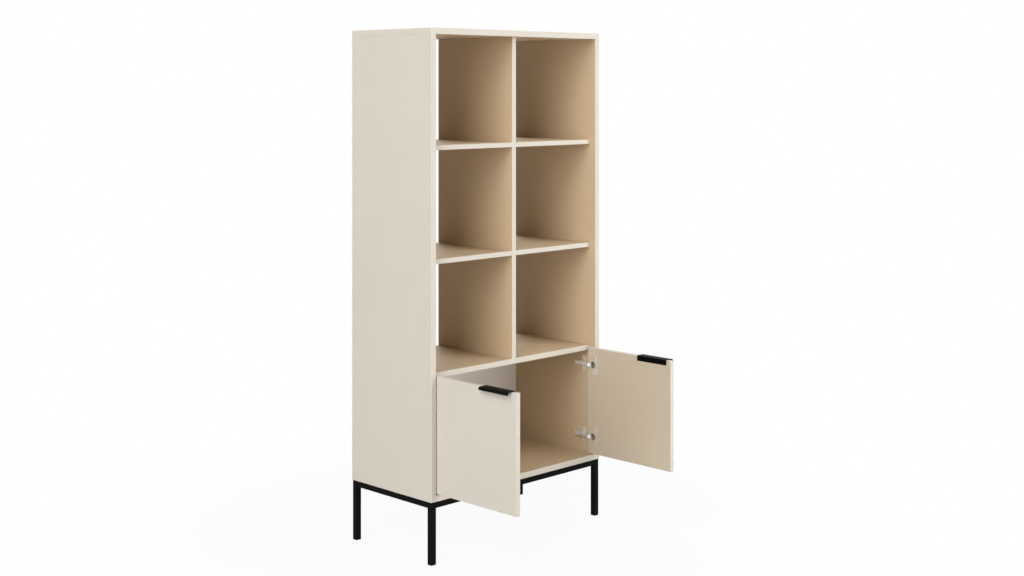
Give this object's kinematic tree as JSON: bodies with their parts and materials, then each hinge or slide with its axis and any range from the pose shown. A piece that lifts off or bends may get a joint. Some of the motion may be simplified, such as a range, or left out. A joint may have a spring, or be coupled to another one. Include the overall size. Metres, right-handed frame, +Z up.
{
  "type": "bookcase with cabinet doors",
  "caption": "Tall lacquered-board bookcase on a square-tube base, with open compartments above and a cabinet with inset hinged doors below.",
  "frame": {"origin": "on the floor, under the middle of the body", "axes": "+X to the right of someone facing the doors, +Y to the back, +Z up"},
  "size_m": [0.8, 0.757, 1.71],
  "materials": {
    "cream_board": "satin cream lacquer",
    "back_board": "pale grey-white film",
    "black_metal": "fine black powder coat",
    "hinge_nickel": "nickel plate",
    "screw_steel": "zinc plate",
    "black_plastic": "moulded matt",
    "dowel_wood": "plain beech"
  },
  "bodies": {
    "carcass": {"left_side_panel": "cream_board", "right_side_panel": "cream_board", "top_panel": "cream_board", "bottom_panel": "cream_board", "centre_divider": "cream_board", "cabinet_top_shelf": "cream_board", "lower_left_shelf": "cream_board", "lower_right_shelf": "cream_board", "upper_left_shelf": "cream_board", "upper_right_shelf": "cream_board", "cabinet_back_panel": "back_board", "back_screws": "screw_steel", "frame_screws": "screw_steel", "hinge_plate_screws": "screw_steel", "hinge_arm_screws": "screw_steel", "top_dowels": "dowel_wood", "bottom_dowels": "dowel_wood", "cabinet_top_dowels": "dowel_wood", "divider_dowels": "dowel_wood", "shelf_dowels": "dowel_wood", "front_left_leg": "black_metal", "back_left_leg": "black_metal", "front_right_leg": "black_metal", "back_right_leg": "black_metal", "front_rail": "black_metal", "back_rail": "black_metal", "left_rail": "black_metal", "right_rail": "black_metal", "frame_corner_plates": "black_metal", "foot_plugs": "black_plastic", "left_upper_hinge_plate": "hinge_nickel", "left_lower_hinge_plate": "hinge_nickel", "right_upper_hinge_plate": "hinge_nickel", "right_lower_hinge_plate": "hinge_nickel", "left_upper_hinge_arm": "hinge_nickel", "left_lower_hinge_arm": "hinge_nickel", "right_upper_hinge_arm": "hinge_nickel", "right_lower_hinge_arm": "hinge_nickel"},
    "left_door": {"left_door": "cream_board", "left_handle": "black_metal", "left_handle_screws": "screw_steel", "left_upper_hinge_cup": "hinge_nickel", "left_lower_hinge_cup": "hinge_nickel", "left_upper_hinge_pin": "hinge_nickel", "left_lower_hinge_pin": "hinge_nickel", "left_cup_screws": "screw_steel"},
    "right_door": {"right_door": "cream_board", "right_handle": "black_metal", "right_handle_screws": "screw_steel", "right_upper_hinge_cup": "hinge_nickel", "right_lower_hinge_cup": "hinge_nickel", "right_upper_hinge_pin": "hinge_nickel", "right_lower_hinge_pin": "hinge_nickel", "right_cup_screws": "screw_steel"}
  },
  "joints": [
    {"name": "left_door_hinge", "type": "hinge", "parent": "carcass", "child": "left_door", "pos_m": [-0.3675, -0.1915, 0.411], "axis": [0, 0, 1], "range_deg": [-15, 90]},
    {"name": "right_door_hinge", "type": "hinge", "parent": "carcass", "child": "right_door", "pos_m": [0.3675, -0.1915, 0.411], "axis": [0, 0, -1], "range_deg": [-15, 90]}
  ]
}
